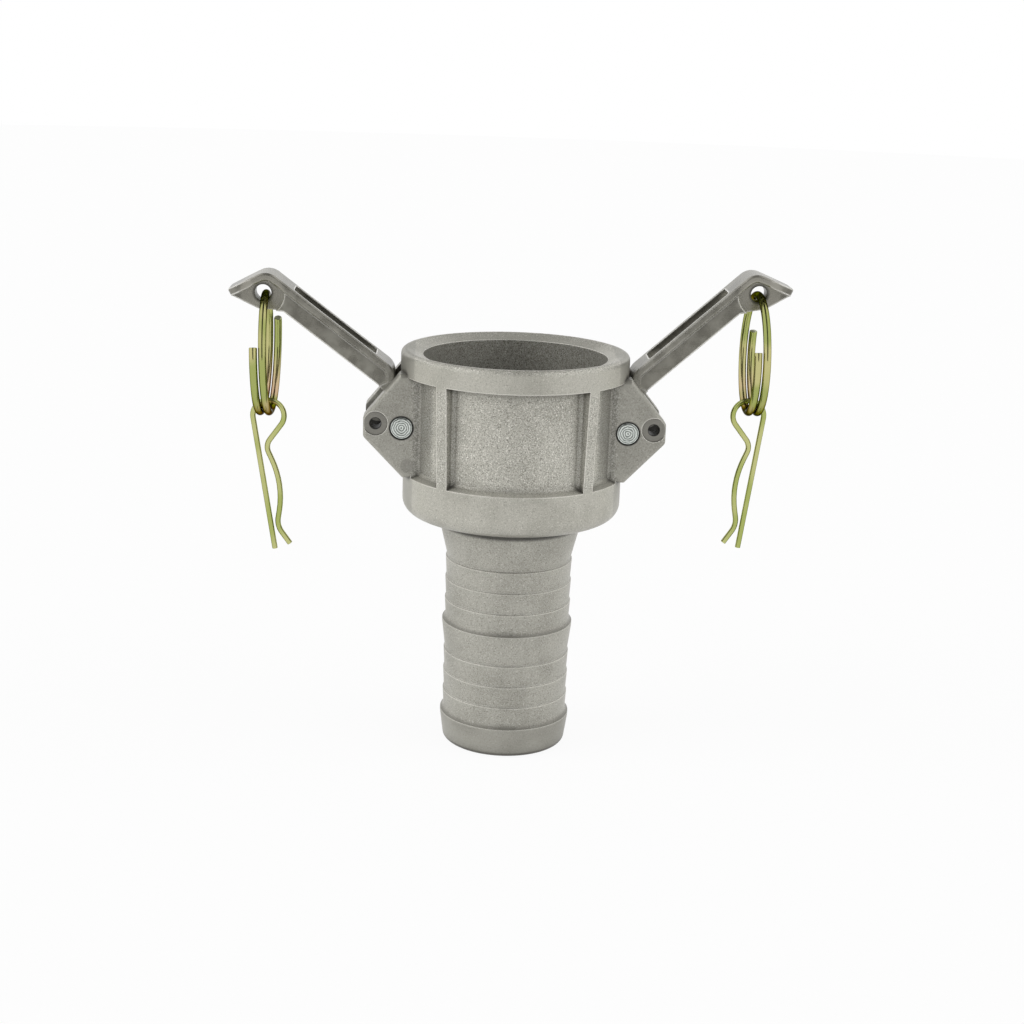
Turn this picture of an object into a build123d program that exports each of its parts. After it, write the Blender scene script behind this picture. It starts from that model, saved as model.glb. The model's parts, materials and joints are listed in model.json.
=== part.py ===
from build123d import *
import math
import os

# Cam and groove coupler: a cast socket with a hose tail, two cam levers on pins, and on each lever
# a pull ring that carries a wire safety clip.
# Millimetres. The origin is on the axis at the end of the hose tail, +Z points out of the socket,
# and the levers spread along X. The levers are modelled open, as they hang ready for an adapter.

# Socket
socket_bore = 54.0
cup_depth = 43.8
cup_floor = 4.9
lip_wall = 6.4
lip_height = 6.7
lip_rounding = 1.5
lip_crest = 0.4
mouth_drop = 1.6

# Outside of the cup: a plain band at the foot, then recessed panels between upright ribs
band_wall = 5.3
band_height = 12.5
band_rounding = 4.4
panel_wall = 3.0
panel_ledge = 1.2
rib_width = 3.7
rib_angle = 40.25
casting_radius = 1.1

# Gasket and its groove
gasket_bore = 41.3
gasket_thickness = 6.35
gasket_edge = 0.6
groove_depth = 0.8
groove_play = 0.15
gasket_play = 0.05

# Hose tail
waterway_bore = 32.0
tail_length = 71.3
tail_end_diameter = 37.0
tail_end_rounding = 1.5
root_diameter = 37.2
small_barb_diameter = 37.9
small_barb_back = 0.35
large_barb_diameter = 39.2
large_barb_back = 0.9
large_barb_land = 1.0
large_barb_hollow = 2.6
first_barb_height = 9.0
barb_group_spacing = 29.0
barb_groups = 2
barb_pitch = 6.5
small_barbs_per_group = 3
neck_height = 13.0
neck_diameter = 43.6

# Ears that carry the lever pins, placed from the pin
ear_gap = 13.0
ear_thickness = 5.9
ear_reach = 11.05
ear_edge_height = 5.8
ear_shoulder_reach = 6.0
ear_shoulder_rise = 9.1
ear_root_drop = 5.8
ear_corner_radius = 1.6
ear_edge_radius = 1.2
pin_stand_off = 5.7
pin_drop = 21.4
pin_diameter = 6.4
pin_chamfer = 0.4
pin_play = 0.05
window_below_pin = 10.6
window_above_pin = 12.4

# Hole for the safety clip through both ears
lock_hole_reach = 7.5
lock_hole_rise = 1.2
lock_hole_diameter = 3.2
spot_face_diameter = 7.0
spot_face_depth = 0.3

# Lever. Its profile is drawn with the arm along +X and the pin at the origin.
left_open_angle = 37.0
right_open_angle = 42.2
closed_angle = -85.0
lever_side_play = 0.25
arm_back = 11.3
arm_thickness = 6.8
arm_width = 10.1
flange_thickness = 2.2
flange_edge_radius = 0.6
bend_reach = 57.3
bend_angle = 64.5
bend_radius = 5.0
tip_length = 13.1
tip_thickness = 2.0
tip_width = 9.0
tip_edge_radius = 0.8
plate_taper_start = 5.5
plate_corner_radius = 2.5
elbow_reach = 2.4
elbow_drop = 4.0
elbow_radius = 5.0
head_radius = 5.5
head_reach = 12.8
shoulder_height = 9.0
shoulder_relief_angle = 1.0
cam_reach = 10.2
cam_nose_radius = 3.2
nose_flank_angle = -12.0
throat_reach = 9.0
throat_radius = 4.0
ring_hole_setback = 3.0
ring_hole_inset = 6.4
ring_hole_diameter = 4.8
eye_radius = 6.2
eye_width = 6.0
eye_foot_drop = 4.5
eye_foot_setback = 1.6
slot_width = 9.3
slot_depth = 2.4
slot_start = 18.3
slot_end_setback = 9.5
slot_corner_radius = 1.2

# Pull ring: a helix of round wire, a little over a turn and a half
ring_bore = 32.0
ring_wire = 2.3
ring_pitch = 2.55
ring_shift = 0.5
left_ring_front_turns = 0.79
left_ring_rear_turns = 0.826
right_ring_front_turns = 0.78
right_ring_rear_turns = 0.788
ring_play = 0.15

# Safety clip: one round wire with a straight leg and a waved leg
clip_wire = 1.6
clip_head_radius = 4.55
clip_inset = 0.7
clip_play = 0.12
left_clip_lean_angle = -1.1
right_clip_lean_angle = 0.8
straight_leg = 40.3
straight_leg_angle = 82.0
head_bend_angle = 225.0
neck_run = 5.6
waist_radius = 3.9
waist_bend_angle = 60.5
upper_run = 2.2
wave_radius = 27.9
wave_bend_angle = 33.4
lower_run = 2.0
flare_radius = 6.0
flare_bend_angle = 44.2
flare_run = 4.3

# Places that several pieces share
socket_radius = socket_bore / 2
lip_radius = socket_radius + lip_wall
band_radius = socket_radius + band_wall
panel_radius = socket_radius + panel_wall
groove_radius = socket_radius + groove_depth
seat_height = tail_length + cup_floor
rim_height = seat_height + cup_depth
lip_foot = rim_height - lip_height
mouth_edge = rim_height - mouth_drop
ear_root = rim_height - ear_root_drop
band_top = tail_length + band_height
ear_face = ear_gap / 2 + ear_thickness
pin_x = socket_radius + pin_stand_off
pin_z = rim_height - pin_drop
lever_width = ear_gap - 2 * lever_side_play
arm_under = arm_back - arm_thickness
ring_hole_reach = bend_reach - ring_hole_setback
ring_hole_height = arm_back - ring_hole_inset
ring_radius = (ring_bore + ring_wire) / 2
full_turn = 360.0


def across(face, width):
    """A plate of the given width, centred on the XZ plane."""
    return extrude(face, amount=width / 2, both=True)


def bore_along_y(x, z, diameter, length):
    """A cylinder along Y through the point (x, z)."""
    return Pos(x, 0, z) * Rot(90, 0, 0) * Cylinder(diameter / 2, length)


# Coupler body


def barb_crest(group):
    """Height of the large barb that starts a group."""
    return first_barb_height + group * barb_group_spacing


def tail_outline():
    """Half section of the barbed tail, from its end up to the underside of the cup."""
    points = [(0, 0), (tail_end_diameter / 2, 0)]
    for group in range(barb_groups):
        crest = barb_crest(group)
        points.append((large_barb_diameter / 2, crest - large_barb_land))
        points.append((large_barb_diameter / 2, crest))
        points.append((root_diameter / 2, crest + large_barb_back))
        for barb in range(1, small_barbs_per_group + 1):
            small_crest = crest + barb * barb_pitch
            points.append((small_barb_diameter / 2, small_crest))
            points.append((root_diameter / 2, small_crest + small_barb_back))
    points.append((root_diameter / 2, tail_length - neck_height))
    points.append((neck_diameter / 2, tail_length))
    points.append((0, tail_length))
    return points


def make_tail():
    """Tail whose large barbs curve in behind their edge, so that they bite into the hose."""
    section = make_face(Polyline(*tail_outline(), close=True))
    end_corner = section.vertices().sort_by_distance((tail_end_diameter / 2, 0))[0]
    section = fillet(end_corner, tail_end_rounding)
    for group in range(barb_groups):
        foot = (root_diameter / 2, barb_crest(group) + large_barb_back)
        section = fillet(section.vertices().sort_by_distance(foot)[0], large_barb_hollow)
    return revolve(Plane.XZ * section, Axis.Z)


def make_cup():
    """The cup before it is bored: plain band, drafted wall and rounded lip."""
    section = make_face(
        Polyline(
            (0, tail_length),
            (band_radius, tail_length),
            (band_radius, band_top),
            (lip_radius, lip_foot),
            (lip_radius, rim_height),
            (0, rim_height),
            close=True,
        )
    )
    foot_corner = section.vertices().sort_by_distance((band_radius, tail_length))[0]
    section = fillet(foot_corner, band_rounding)
    rim_corner = section.vertices().sort_by_distance((lip_radius, rim_height))[0]
    section = fillet(rim_corner, lip_rounding)
    return revolve(Plane.XZ * section, Axis.Z)


def make_panels():
    """What is taken away between the ribs, the lip, the band and the ears."""
    outside = lip_radius + panel_wall
    slope = panel_ledge / (band_radius - panel_radius)
    ledge_drop = slope * (outside - panel_radius)
    section = make_face(
        Polyline(
            (panel_radius, band_top + panel_ledge),
            (outside, band_top + panel_ledge - ledge_drop),
            (outside, lip_foot),
            (panel_radius, lip_foot),
            close=True,
        )
    )
    panels = revolve(Plane.XZ * section, Axis.Z)
    for side in (-90, 90):
        for bearing in (-rib_angle, rib_angle):
            rib = Pos(outside / 2, 0, rim_height / 2) * Box(outside, rib_width, rim_height)
            panels -= Rot(0, 0, side + bearing) * rib
    panels -= Pos(0, 0, rim_height / 2) * Box(3 * outside, 2 * ear_face, rim_height)
    floors = [face for face in panels.faces().filter_by(GeomType.CYLINDER) if inside_lip(face)]
    return fillet([edge for floor in floors for edge in floor.edges()], casting_radius)


def inside_lip(face):
    """Whether the middle of an upright face lies within the lip's radius."""
    middle = face.center()
    return math.hypot(middle.X, middle.Y) < lip_radius


def ear_outline():
    """Right-hand ear, from inside the cup wall out to the lever pin and the safety hole."""
    edge_x = pin_x + ear_reach
    edge_low = pin_z - ear_edge_height / 2
    edge_high = pin_z + ear_edge_height / 2
    face = make_face(
        Polyline(
            (socket_radius / 2, band_top),
            (band_radius, band_top),
            (edge_x, edge_low),
            (edge_x, edge_high),
            (pin_x + ear_shoulder_reach, pin_z + ear_shoulder_rise),
            (lip_radius, ear_root),
            (socket_radius / 2, ear_root),
            close=True,
        )
    )
    corners = face.vertices().sort_by(Axis.X)[-3:]
    return Plane.XZ * fillet(corners, ear_corner_radius)


def make_ears():
    """Four ears: a pair on each side, with a gap between for the lever."""
    outline = ear_outline()
    plate = extrude(outline, amount=ear_thickness)
    outer_face = plate.faces().sort_by(Axis.Y)[0]
    plate = fillet(outer_face.edges(), ear_edge_radius)
    front_right = Pos(0, -ear_gap / 2, 0) * plate
    back_right = mirror(front_right, about=Plane.XZ)
    front_left = mirror(front_right, about=Plane.YZ)
    back_left = mirror(back_right, about=Plane.YZ)
    return [front_right, back_right, front_left, back_left]


def make_hollow():
    """Everything inside: waterway, gasket groove, socket and the mouth that slopes in from the lip."""
    groove_top = seat_height + gasket_thickness + groove_play
    section = make_face(
        Polyline(
            (0, 0),
            (waterway_bore / 2, 0),
            (waterway_bore / 2, seat_height),
            (groove_radius, seat_height),
            (groove_radius, groove_top),
            (socket_radius, groove_top),
            (socket_radius, mouth_edge),
            (lip_radius - lip_rounding - lip_crest, rim_height),
            (0, rim_height),
            close=True,
        )
    )
    return revolve(Plane.XZ * section, Axis.Z)


def make_body():
    body = make_tail() + make_cup() - make_panels()
    for ear in make_ears():
        body += ear

    window_height = window_above_pin + window_below_pin
    window_reach = lip_radius + lip_wall - socket_radius / 2
    window = Box(window_reach, ear_gap, window_height, align=(Align.MIN, Align.CENTER, Align.MIN))
    window = Pos(socket_radius / 2, 0, pin_z - window_below_pin) * window
    body -= window
    body -= mirror(window, about=Plane.YZ)

    body -= make_hollow()

    through = 2 * ear_face + ear_thickness
    lock_z = pin_z + lock_hole_rise
    for side in (-1, 1):
        lock_x = side * (pin_x + lock_hole_reach)
        body -= bore_along_y(side * pin_x, pin_z, pin_diameter + 2 * pin_play, through)
        body -= bore_along_y(lock_x, lock_z, lock_hole_diameter, through)
        for face_y in (-ear_face, ear_face):
            spot = bore_along_y(lock_x, lock_z, spot_face_diameter, 2 * spot_face_depth)
            body -= Pos(0, face_y, 0) * spot
    return body


# Gasket


def make_gasket():
    upright = (Align.CENTER, Align.CENTER, Align.MIN)
    ring = Cylinder(groove_radius - gasket_play, gasket_thickness, align=upright)
    ring -= Cylinder(gasket_bore / 2, gasket_thickness, align=upright)
    ring = fillet(ring.edges().filter_by(GeomType.CIRCLE), gasket_edge)
    return Pos(0, 0, seat_height) * ring


# Lever pin


def make_pin():
    pin = Cylinder(pin_diameter / 2, 2 * ear_face)
    pin = chamfer(pin.edges().filter_by(GeomType.CIRCLE), pin_chamfer)
    return Pos(pin_x, 0, pin_z) * Rot(90, 0, 0) * pin


# Cam lever


def polar(radius, degrees):
    """Point of the lever's profile at a distance and angle from the pin."""
    return (radius * math.cos(math.radians(degrees)), radius * math.sin(math.radians(degrees)))


def turned(point, degrees):
    """A profile point turned about the pin."""
    reach, bearing = math.hypot(*point), math.degrees(math.atan2(point[1], point[0]))
    return polar(reach, bearing + degrees)


def bend_point(along, inward):
    """Point beside the finger plate past the bend: along it, and inward of its back."""
    angle = math.radians(bend_angle)
    x = bend_reach + along * math.cos(angle) - inward * math.sin(angle)
    y = arm_back - along * math.sin(angle) - inward * math.cos(angle)
    return (x, y)


def elbow_level(inset):
    """Height above the pin, with the lever open, at which the elbow turns down."""
    tilt = math.radians(left_open_angle)
    return (arm_back - inset + (elbow_reach + inset) * math.sin(tilt)) / math.cos(tilt)


def elbow_points(inset):
    """Top and foot of the elbow's drop, upright when open, moved in from the back by the inset."""
    reach = elbow_reach + inset
    foot_level = elbow_level(0) - elbow_drop
    top = turned((reach, elbow_level(inset)), -left_open_angle)
    return top, turned((reach, foot_level), -left_open_angle)


def lock_bearing():
    """Bearing of the safety hole, seen from the pin, when the lever is closed."""
    return math.degrees(math.atan2(lock_hole_rise, lock_hole_reach)) - closed_angle


def shoulder_angle():
    """Bearing of the face that the closed lever turns against the safety clip."""
    lock_distance = math.hypot(lock_hole_reach, lock_hole_rise)
    hole_half_angle = math.degrees(math.asin(lock_hole_diameter / 2 / lock_distance))
    return lock_bearing() - hole_half_angle - shoulder_relief_angle


def head_face():
    """Cam head: round the pin, out to the cam nose and up to the arm."""
    elbow_top, elbow_foot = elbow_points(0)
    nose_centre = Vector(*polar(cam_reach - cam_nose_radius, 180 - closed_angle))
    nose_flank = nose_centre + Vector(*polar(cam_nose_radius, nose_flank_angle))
    nose = Pos(nose_centre) * Circle(cam_nose_radius)
    web = make_hull([*Circle(head_radius).edges(), *nose.edges()])
    neck = make_face(
        Polyline(
            (0, 0),
            polar(head_radius, shoulder_angle()),
            polar(shoulder_height, shoulder_angle()),
            elbow_foot,
            elbow_top,
            (elbow_top[0] + arm_thickness, arm_back),
            (elbow_top[0] + arm_thickness, arm_under),
            (throat_reach, arm_under),
            nose_flank,
            nose_centre,
            close=True,
        )
    )
    return web + neck


def lever_outline():
    """The whole side profile: head, arm and finger plate."""
    elbow_top, _ = elbow_points(0)
    eye_foot = ring_hole_reach - eye_foot_setback
    arm = make_face(
        Polyline(
            (throat_reach, arm_under),
            elbow_top,
            (bend_reach, arm_back),
            bend_point(tip_length, 0),
            bend_point(tip_length, tip_thickness),
            (eye_foot, ring_hole_height - eye_foot_drop),
            (eye_foot - eye_radius, arm_under),
            close=True,
        )
    )
    outline = head_face() + arm
    for corner, radius in (
        ((bend_reach, arm_back), bend_radius),
        (elbow_top, elbow_radius),
        ((throat_reach, arm_under), throat_radius),
    ):
        outline = fillet(outline.vertices().sort_by_distance(corner)[0], radius)
    tip_corners = outline.vertices().sort_by_distance(bend_point(tip_length, tip_thickness / 2))[:2]
    return fillet(tip_corners, tip_edge_radius)


def plate_trim():
    """What narrows the finger plate to its rounded tip, laid square to the plate."""
    half = lever_width / 2
    plan = make_face(
        Polyline(
            (0, -half),
            (plate_taper_start, -half),
            (tip_length, -tip_width / 2),
            (tip_length, tip_width / 2),
            (plate_taper_start, half),
            (0, half),
            close=True,
        )
    )
    plan = fillet(plan.vertices().sort_by(Axis.X)[2:], plate_corner_radius)
    around = Rectangle(2 * tip_length, 2 * lever_width, align=(Align.MIN, Align.CENTER))
    slope = math.radians(bend_angle)
    plate = Plane(
        origin=(bend_reach, 0, arm_back),
        x_dir=(math.cos(slope), 0, -math.sin(slope)),
        z_dir=(math.sin(slope), 0, math.cos(slope)),
    )
    return extrude(plate * (around - plan), amount=arm_back, both=True)


def make_flange(outline):
    """The back strip of the profile, as wide as the gap between the ears, with rounded edges."""
    beyond = 2 * tip_length
    inner_top, inner_foot = elbow_points(flange_thickness)
    outer_foot = turned((-arm_back, elbow_level(0) - elbow_drop), -left_open_angle)
    corner_setback = flange_thickness * math.tan(math.radians(bend_angle / 2))
    inner_bend = (bend_reach - corner_setback, arm_back - flange_thickness)
    strip = make_face(
        Polyline(
            inner_foot,
            inner_top,
            inner_bend,
            bend_point(beyond, flange_thickness),
            bend_point(beyond, -beyond),
            (bend_reach, 2 * arm_back),
            (-arm_back, 2 * arm_back),
            outer_foot,
            close=True,
        )
    )
    face = outline & strip
    for corner, radius in ((inner_top, elbow_radius), (inner_bend, bend_radius)):
        face = fillet(face.vertices().sort_by_distance(corner)[0], radius - flange_thickness)
    flange = across(Plane.XZ * face, lever_width)
    for side in (0, -1):
        flange = fillet(flange.faces().sort_by(Axis.Y)[side].edges(), flange_edge_radius)
    return flange


def make_lever():
    """Lever with its arm along +X, pin axis at the origin."""
    outline = lever_outline()
    web = across(Plane.XZ * outline, arm_width)

    hollow = Pos(ring_hole_reach, ring_hole_height) * Circle(eye_radius)
    hollow += Pos(ring_hole_reach, ring_hole_height) * Rectangle(
        2 * arm_back, 2 * eye_radius, align=(Align.MIN, Align.CENTER)
    )
    cheeks = across(Plane.XZ * hollow, lever_width) - across(Plane.XZ * hollow, eye_width)

    head = across(Plane.XZ * (outline & Circle(head_reach)), lever_width)
    lever = web - cheeks + make_flange(outline) + head - plate_trim()

    slot_end = bend_reach - slot_end_setback
    slot_length = slot_end - slot_start
    slot = Pos((slot_start + slot_end) / 2, 0, arm_back) * Box(slot_length, slot_width, 2 * slot_depth)
    lever -= fillet(slot.edges().filter_by(Axis.Z), slot_corner_radius)
    lever -= bore_along_y(0, 0, pin_diameter + 2 * pin_play, 2 * lever_width)
    lever -= bore_along_y(ring_hole_reach, ring_hole_height, ring_hole_diameter, 2 * lever_width)
    return lever


def placed_lever(lever, open_angle):
    """The lever on the right-hand pin, opened to the given angle above level."""
    return Pos(pin_x, 0, pin_z) * Rot(0, -open_angle, 0) * lever


def ring_hole(open_angle):
    """Where the lever's ring hole stands when the right-hand lever is open."""
    x, z = turned((ring_hole_reach, ring_hole_height), open_angle)
    return pin_x + x, pin_z + z


# Pull ring


def ring_drop():
    """How far the wire hangs below the middle of its hole, clear of the hole's edges."""
    half_eye = eye_width / 2
    sag = ring_radius - math.sqrt(ring_radius**2 - half_eye**2)
    room = (ring_hole_diameter - ring_wire) / 2 - ring_play
    return math.sqrt(room**2 - ring_shift**2) - sag


def make_ring(front_turns, rear_turns):
    """Ring about its own centre, standing in the YZ plane, with its middle turn at the top."""
    turns = front_turns + rear_turns
    path = Helix(ring_pitch, ring_pitch * turns, ring_radius)
    wire = sweep((path ^ 0) * Circle(ring_wire / 2), path=path, is_frenet=True)
    start = full_turn / 2 - full_turn * front_turns
    standing = Rot(start, 0, 0) * Rot(0, 90, 0) * wire
    return Pos(-ring_pitch * front_turns, 0, 0) * standing


def ring_centre(open_angle, shift):
    """Middle of the hanging ring, which its winding pushes aside in the hole."""
    hole_x, hole_z = ring_hole(open_angle)
    return hole_x + shift, hole_z - ring_drop() - ring_radius


# Safety clip


def clip_drop():
    """How far the clip's head centre hangs below the ring's lowest wires."""
    inside = clip_head_radius - (clip_wire + ring_wire) / 2 - clip_play
    sideways = ring_pitch / 2 + clip_inset
    return math.sqrt(inside**2 - sideways**2)


def along(degrees):
    """Unit step in the clip's plane."""
    return Vector(math.cos(math.radians(degrees)), math.sin(math.radians(degrees)))


def make_clip():
    """Clip about the centre of its head, in the XZ plane, straight leg on the +X side."""
    heading = straight_leg_angle
    point = along(heading - 90) * clip_head_radius - along(heading) * straight_leg
    path = []
    for run, radius, turn in (
        (straight_leg, clip_head_radius, head_bend_angle),
        (neck_run, waist_radius, -waist_bend_angle),
        (upper_run, wave_radius, wave_bend_angle),
        (lower_run, flare_radius, -flare_bend_angle),
    ):
        bend_start = point + along(heading) * run
        path.append(Line(point, bend_start))
        path.append(JernArc(bend_start, along(heading), radius, turn))
        point = path[-1] @ 1
        heading += turn
    path.append(Line(point, point + along(heading) * flare_run))
    wire = Plane.XZ * Wire(path)
    return sweep((wire ^ 0) * Circle(clip_wire / 2), path=wire)


def write(node, shape):
    shape.label = node
    export_step(shape, f"parts/{node}.step")


def clip_centre(ring_x, ring_z):
    """Where the clip's head stands inside the bottom of the ring, a little towards the body."""
    return ring_x - clip_inset, ring_z - ring_radius - clip_drop()


def make_right_side(lever, clip):
    ring_x, ring_z = ring_centre(right_open_angle, ring_shift)
    clip_x, clip_z = clip_centre(ring_x, ring_z)
    ring = make_ring(right_ring_front_turns, right_ring_rear_turns)
    write("cam_lever_right", placed_lever(lever, right_open_angle))
    write("pull_ring_right", Pos(ring_x, 0, ring_z) * ring)
    write("safety_clip_right", Pos(clip_x, 0, clip_z) * Rot(0, -right_clip_lean_angle, 0) * clip)


def make_left_side(lever, clip):
    """Worked out on the right-hand side and mirrored, apart from the ring's winding."""
    ring_x, ring_z = ring_centre(left_open_angle, -ring_shift)
    clip_x, clip_z = clip_centre(ring_x, ring_z)
    ring = make_ring(left_ring_front_turns, left_ring_rear_turns)
    clip = Pos(clip_x, 0, clip_z) * Rot(0, -left_clip_lean_angle, 0) * clip
    write("cam_lever_left", mirror(placed_lever(lever, left_open_angle), about=Plane.YZ))
    write("pull_ring_left", Pos(-ring_x, 0, ring_z) * ring)
    write("safety_clip_left", mirror(clip, about=Plane.YZ))


def main():
    os.makedirs("parts", exist_ok=True)
    write("coupler_body", make_body())
    write("gasket", make_gasket())
    pin = make_pin()
    write("lever_pin_right", pin)
    write("lever_pin_left", mirror(pin, about=Plane.YZ))
    lever = make_lever()
    clip = make_clip()
    make_right_side(lever, clip)
    make_left_side(lever, clip)


if __name__ == "__main__":
    main()
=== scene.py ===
import json
import logging
import math
from dataclasses import dataclass, field
from enum import Enum
from typing import Any, Iterable, Optional, Sequence, Union

import bmesh
import bpy
from mathutils import Matrix, Vector


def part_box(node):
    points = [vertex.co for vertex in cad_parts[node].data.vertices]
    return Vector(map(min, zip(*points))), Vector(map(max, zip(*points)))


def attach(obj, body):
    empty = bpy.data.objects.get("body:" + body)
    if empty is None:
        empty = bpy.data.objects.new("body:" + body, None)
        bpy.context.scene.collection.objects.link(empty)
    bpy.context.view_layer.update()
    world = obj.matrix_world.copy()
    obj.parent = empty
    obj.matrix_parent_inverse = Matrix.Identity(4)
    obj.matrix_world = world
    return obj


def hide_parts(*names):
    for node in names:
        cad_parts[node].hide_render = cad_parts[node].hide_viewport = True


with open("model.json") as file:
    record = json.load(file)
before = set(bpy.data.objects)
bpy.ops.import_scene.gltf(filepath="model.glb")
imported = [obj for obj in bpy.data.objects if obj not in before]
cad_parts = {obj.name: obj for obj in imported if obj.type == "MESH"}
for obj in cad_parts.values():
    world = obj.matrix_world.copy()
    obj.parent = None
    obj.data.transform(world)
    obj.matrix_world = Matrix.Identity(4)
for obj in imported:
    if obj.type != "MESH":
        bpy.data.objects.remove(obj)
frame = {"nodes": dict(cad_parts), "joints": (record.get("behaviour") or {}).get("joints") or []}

LOG = logging.getLogger("coupler")
MM = 0.001  # fields hold millimetres and degrees, and Blender takes metres and radians
SAME_SPOT = 1e-7  # metres, points this near each other are one
EDGE_STEPS = 2  # faces across a chamfer or a burr


class Side(Enum):
    """The two sides of the coupler, as the sign of X."""

    LEFT = -1
    RIGHT = 1

    @property
    def word(self) -> str:
        """The side's name as the nodes and bodies spell it."""
        return self.name.lower()


def hinge(name: str) -> Vector:
    """Finds where a joint's axis passes.

    Args:
        name: The joint's name.

    Returns:
        A point on the axis, in millimetres.
    """
    joint = next(joint for joint in frame["joints"] if joint["name"] == name)
    return Vector(joint["pos_m"]) / MM


# Shader help


def linear(hex_colour: str) -> tuple[float, float, float, float]:
    """Turns an sRGB hex colour to the linear colour that shaders take.

    Args:
        hex_colour: Six hex digits after a hash sign.

    Returns:
        Linear red, green and blue, and an alpha of one.
    """
    parts = [int(hex_colour[i:i + 2], 16) / 255 for i in (1, 3, 5)]
    curved = [c / 12.92 if c <= 0.04045 else ((c + 0.055) / 1.055) ** 2.4 for c in parts]
    return (curved[0], curved[1], curved[2], 1.0)


def add_node(
    tree: bpy.types.NodeTree,
    kind: str,
    settings: Optional[dict[str, Any]] = None,
    inputs: Optional[dict[Union[int, str], Any]] = None,
) -> bpy.types.Node:
    """Adds one node with its settings and what goes into it.

    Args:
        tree: The node tree that gets the node.
        kind: The node's type without its ShaderNode prefix, such as Math.
        settings: Properties of the node by name.
        inputs: By input, a value, a hex colour or the output socket to link from.

    Returns:
        The new node.
    """
    node = tree.nodes.new(f"ShaderNode{kind}")
    for name, value in (settings or {}).items():
        setattr(node, name, value)
    for key, value in (inputs or {}).items():
        if isinstance(value, bpy.types.NodeSocket):
            tree.links.new(value, node.inputs[key])
        else:
            node.inputs[key].default_value = linear(value) if isinstance(value, str) else value
    return node


def new_material(name: str) -> tuple[bpy.types.Material, bpy.types.NodeTree]:
    """Starts an empty node material, named for the real stuff.

    Args:
        name: The stuff, and how its surface was made.

    Returns:
        The material and its tree.
    """
    material = bpy.data.materials.new(name)
    material.use_nodes = True
    material.node_tree.nodes.clear()
    return material, material.node_tree


@dataclass(frozen=True)
class Position:
    """Where a point of a surface is, in millimetres, as sockets that a pattern follows."""

    place: bpy.types.NodeSocket
    height: bpy.types.NodeSocket
    aside: bpy.types.NodeSocket  # from the middle along X, to either side
    across: bpy.types.NodeSocket  # from the middle along Y, to the front or the back
    radius: bpy.types.NodeSocket  # from the Z axis


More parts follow.
